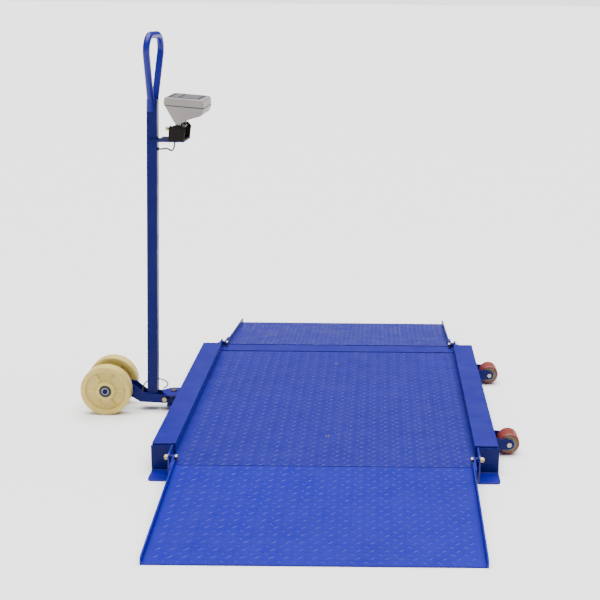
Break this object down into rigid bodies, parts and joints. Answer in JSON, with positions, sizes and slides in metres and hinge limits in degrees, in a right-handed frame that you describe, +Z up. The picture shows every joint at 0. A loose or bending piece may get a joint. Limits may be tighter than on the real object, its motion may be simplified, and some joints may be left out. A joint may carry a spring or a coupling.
{
  "type": "portable platform scale",
  "caption": "Low-profile chequer-plate floor scale with folding ramps, side rollers, a swivelling lever mast on nylon wheels and a tilting weight indicator.",
  "frame": {"origin": "centre of the weighing deck, on the floor", "axes": "+X towards the roller side (the mast is at -X), +Y towards the rear ramp, +Z up"},
  "size_m": [1.6215, 2.5808, 1.4238],
  "materials": {
    "blue_paint": "gloss",
    "navy_paint": "gloss",
    "zinc": "satin",
    "steel": "satin",
    "nylon": "satin",
    "pu": "satin",
    "core": "satin",
    "abs": "satin",
    "overlay": "satin",
    "keys": "satin",
    "window": "gloss",
    "black_steel": "satin",
    "brass": "satin",
    "cable": "matte",
    "black_rubber": "matte"
  },
  "bodies": {
    "platform": {"left_channel": "blue_paint", "right_channel": "blue_paint", "left_lug_plate": "blue_paint", "right_lug_plate": "blue_paint", "end_plates": "navy_paint", "rear_cross_member": "blue_paint", "cross_ties": "navy_paint", "load_cells": "steel", "load_cell_bolts": "zinc", "load_posts": "steel", "junction_box": "steel", "swivel_tongues": "blue_paint", "swivel_pin": "zinc", "roller_brackets": "navy_paint", "roller_bolts": "steel", "hinge_bolts": "zinc", "hinge_nuts": "zinc", "hinge_spacers": "navy_paint", "deck_plate": "blue_paint", "deck_ribs": "navy_paint", "left_cover": "blue_paint", "right_cover": "blue_paint", "lifting_plugs": "steel"},
    "front_ramp": {"front_ramp_plate": "blue_paint", "front_ramp_flanges": "blue_paint", "front_ramp_ribs": "navy_paint"},
    "rear_ramp": {"rear_ramp_plate": "blue_paint", "rear_ramp_flanges": "blue_paint", "rear_ramp_ribs": "navy_paint"},
    "swivel": {"swivel_block": "navy_paint"},
    "lifting_fork": {"fork_plates": "navy_paint", "fork_web": "navy_paint", "mast_packers": "navy_paint", "tilt_bolt": "zinc", "wheel_axle": "navy_paint", "axle_spacers": "steel", "axle_clips": "steel", "mast_tube": "navy_paint", "loop_handle": "blue_paint", "arm_plate": "navy_paint", "tilt_bracket": "black_steel", "bracket_bolts": "zinc", "lead_grommets": "black_rubber", "indicator_lead": "cable", "indicator_tail": "cable", "cell_lead": "cable"},
    "lock_knob": {"lock_screw": "brass"},
    "indicator": {"housing_base": "abs", "housing_top": "abs", "panel_overlay": "overlay", "display_window": "window", "panel_keys": "keys"},
    "front_wheel_body": {"front_wheel": "nylon", "front_wheel_bearings": "steel"},
    "rear_wheel_body": {"rear_wheel": "nylon", "rear_wheel_bearings": "steel"},
    "front_roller": {"front_roller_tyre": "pu", "front_roller_core": "core"},
    "rear_roller": {"rear_roller_tyre": "pu", "rear_roller_core": "core"}
  },
  "joints": [
    {"name": "front_ramp_hinge", "type": "hinge", "parent": "platform", "child": "front_ramp", "pos_m": [0, -0.674, 0.078], "axis": [-1, 0, 0], "range_deg": [0, 100]},
    {"name": "rear_ramp_hinge", "type": "hinge", "parent": "platform", "child": "rear_ramp", "pos_m": [0, 0.674, 0.078], "axis": [1, 0, 0], "range_deg": [0, 100]},
    {"name": "fork_swivel", "type": "hinge", "parent": "platform", "child": "swivel", "pos_m": [-0.611, 0.032, 0.046], "axis": [0, 0, 1], "range_deg": [-60, 60]},
    {"name": "mast_tilt", "type": "hinge", "parent": "swivel", "child": "lifting_fork", "pos_m": [-0.643, 0.032, 0.046], "axis": [0, -1, 0], "range_deg": [0, 55], "deforming": ["cell_lead"]},
    {"name": "front_wheel_spin", "type": "hinge", "parent": "lifting_fork", "child": "front_wheel_body", "pos_m": [-0.856, -0.032, 0.095], "axis": [0, 1, 0], "continuous": true},
    {"name": "rear_wheel_spin", "type": "hinge", "parent": "lifting_fork", "child": "rear_wheel_body", "pos_m": [-0.856, 0.096, 0.095], "axis": [0, 1, 0], "continuous": true},
    {"name": "front_roller_spin", "type": "hinge", "parent": "platform", "child": "front_roller", "pos_m": [0.6335, -0.396, 0.042], "axis": [0, 1, 0], "continuous": true},
    {"name": "rear_roller_spin", "type": "hinge", "parent": "platform", "child": "rear_roller", "pos_m": [0.6335, 0.396, 0.042], "axis": [0, 1, 0], "continuous": true},
    {"name": "indicator_tilt", "type": "hinge", "parent": "lifting_fork", "child": "indicator", "pos_m": [-0.55, 0.032, 1.085], "axis": [0, 1, 0], "range_deg": [-20, 20], "deforming": ["indicator_tail"]},
    {"name": "lock_knob_turn", "type": "hinge", "parent": "lifting_fork", "child": "lock_knob", "pos_m": [-0.59, -0.03, 1.084], "axis": [1, 0, 0], "continuous": true}
  ]
}
